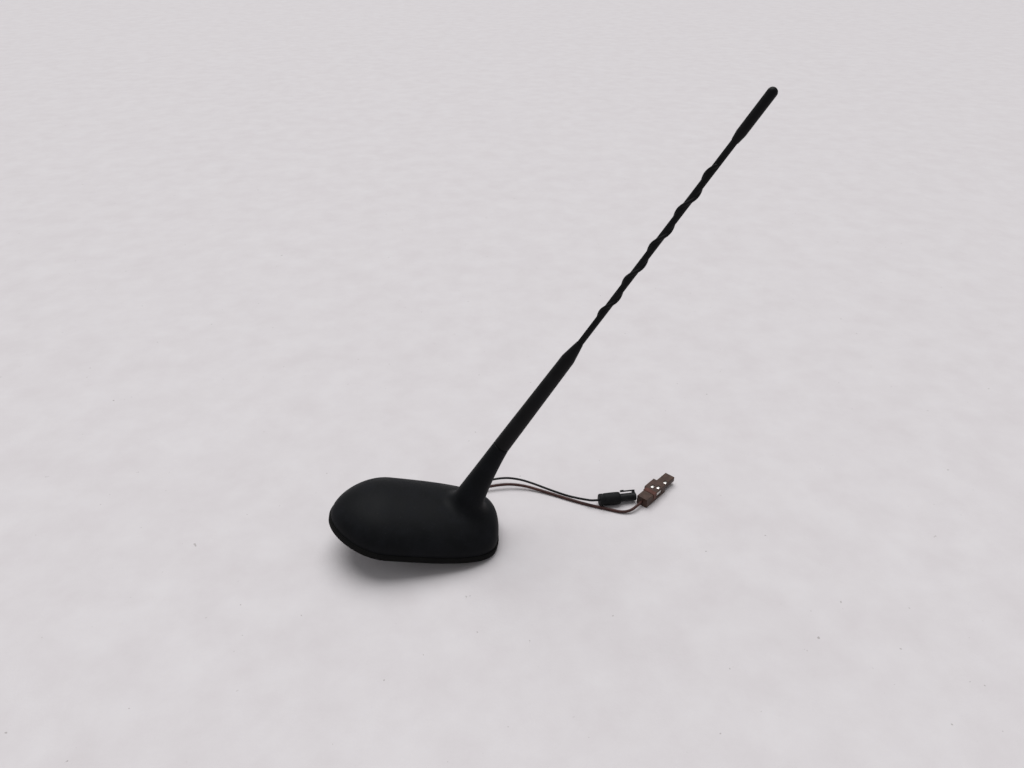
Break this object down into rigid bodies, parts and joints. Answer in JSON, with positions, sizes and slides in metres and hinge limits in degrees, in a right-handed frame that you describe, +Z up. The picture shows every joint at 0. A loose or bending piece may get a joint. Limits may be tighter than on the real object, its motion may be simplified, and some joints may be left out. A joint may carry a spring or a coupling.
{
  "type": "car roof antenna",
  "caption": "Domed car roof antenna base with a raked neck, a screw-in whip mast with a spiral ridge, a slotted roof stud and short leads with connectors.",
  "frame": {"origin": "on the axis of the roof stud, in the plane of the roof under the gasket", "axes": "+X towards the slim nose of the base (forward on the car), +Y to its left, +Z up from the roof"},
  "size_m": [0.2429, 0.0872, 0.3239],
  "materials": {
    "gasket_rubber": "matte",
    "cover_plastic": "fine grained",
    "cast_zinc": "as cast",
    "screw_steel": "zinc plated",
    "board_laminate": "solder resist",
    "tinned_sheet": "tinned",
    "socket_brass": "turned",
    "grommet_rubber": "matte",
    "lead_ends": "smooth",
    "black_wire": "smooth",
    "brown_wire": "smooth",
    "boot_rubber": "matte",
    "black_nylon": "moulded",
    "brown_nylon": "moulded",
    "lock_nylon": "moulded",
    "contact_tin": "tinned",
    "mast_steel": "turned",
    "seal_rubber": "matte",
    "mast_plastic": "fine grained"
  },
  "bodies": {
    "base": {"roof_gasket": "gasket_rubber", "base_cover": "cover_plastic", "base_plate": "cast_zinc", "cover_screws": "screw_steel", "board_screws": "screw_steel", "circuit_board": "board_laminate", "shield_can": "tinned_sheet", "mast_socket": "socket_brass", "feed_rod": "socket_brass", "lead_grommet": "grommet_rubber", "lead_tails": "lead_ends", "black_lead": "black_wire", "brown_lead": "brown_wire", "black_boot": "boot_rubber", "black_plug": "black_nylon", "brown_plug": "brown_nylon", "brown_lock": "lock_nylon", "black_contact": "contact_tin", "brown_contacts": "contact_tin"},
    "seal": {"mast_seal": "seal_rubber"},
    "mast": {"mast_screw": "mast_steel", "mast_foot": "mast_plastic", "whip": "mast_plastic", "tip_cap": "mast_plastic"}
  },
  "joints": [
    {"name": "mast_rise", "type": "slide", "parent": "base", "child": "seal", "axis": [-0.3584, 0, 0.9336], "range_m": [0, 0.0072]},
    {"name": "mast_turn", "type": "hinge", "parent": "seal", "child": "mast", "pos_m": [-0.05566, 0, 0.07076], "axis": [-0.3584, 0, 0.9336], "range_deg": [0, 3300]}
  ],
  "couplings": [
    {"joint": "mast_turn", "follows": "mast_rise", "rad_per_m": 7854}
  ]
}
